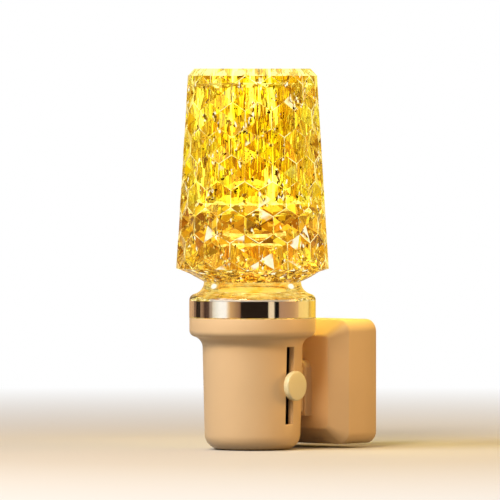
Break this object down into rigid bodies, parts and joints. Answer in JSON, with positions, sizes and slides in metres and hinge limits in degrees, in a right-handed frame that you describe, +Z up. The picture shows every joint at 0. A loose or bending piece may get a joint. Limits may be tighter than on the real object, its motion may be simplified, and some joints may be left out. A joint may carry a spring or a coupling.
{
  "type": "plug in night light",
  "caption": "Plug-in night light: faceted crystal shade on a cream cup with a sliding brightness knob, carried by a square bevelled plug box with two flat blades.",
  "frame": {"origin": "middle of the plug box's back face, between the two blades, where the box meets the wall plate", "axes": "+Y into the wall along the blades, +Z up along the lamp, +X to the right seen from the room, on the slider's side"},
  "size_m": [0.0534, 0.0854, 0.1326],
  "materials": {
    "crystal": "clear faceted acrylic, lit warm",
    "chrome": "bright plated",
    "opal": "opal, lit",
    "white_board": "white solder mask",
    "lamp_phosphor": "yellow phosphor, lit",
    "white_plastic": "moulded",
    "screw_steel": "plated screw",
    "cream_plastic": "fine satin moulding",
    "knob_plastic": "satin moulding",
    "black_plastic": "moulded",
    "contact_brass": "sprung contact",
    "black_metal": "blackened sheet",
    "phenolic": "resin board with a carbon track",
    "tinned_metal": "tinned",
    "green_board": "solder mask",
    "capacitor_sleeve": "shrunk sleeve",
    "ceramic_parts": "ceramic",
    "red_wire": "insulated wire",
    "blade_brass": "plain blade",
    "ferrite": "sintered",
    "yellow_tape": "taped winding",
    "blue_enamel": "enamel"
  },
  "bodies": {
    "lamp": {"crystal_shade": "crystal", "chrome_ring": "chrome", "diffuser": "opal", "lamp_board": "white_board", "lamp_chips": "lamp_phosphor", "lamp_carrier": "white_plastic", "carrier_screws": "screw_steel", "cup_housing": "cream_plastic", "slider_case": "black_metal", "slider_track": "phenolic", "slider_pins": "tinned_metal", "control_board": "green_board", "control_chip": "black_plastic", "control_capacitor": "capacitor_sleeve", "control_parts": "ceramic_parts", "lamp_wires": "red_wire", "plug_housing": "cream_plastic", "back_cover": "cream_plastic", "cover_screws": "screw_steel", "bracket_screws": "screw_steel", "blade_left": "blade_brass", "blade_right": "blade_brass", "blade_retainer": "black_plastic", "retainer_screws": "screw_steel", "power_board": "green_board", "board_screws": "screw_steel", "transformer_core": "ferrite", "transformer_winding": "yellow_tape", "input_capacitor": "capacitor_sleeve", "output_capacitor": "capacitor_sleeve", "bridge_rectifier": "black_plastic", "fuse_resistor": "blue_enamel", "driver_chip": "black_plastic", "choke": "ferrite", "supply_wires": "red_wire"},
    "slider": {"dimmer_knob": "knob_plastic", "slider_lever": "black_plastic", "wiper_contacts": "contact_brass"}
  },
  "joints": [
    {"name": "brightness_slide", "type": "slide", "parent": "lamp", "child": "slider", "axis": [0, 0, 1], "range_m": [-0.0095, 0.0095]}
  ]
}
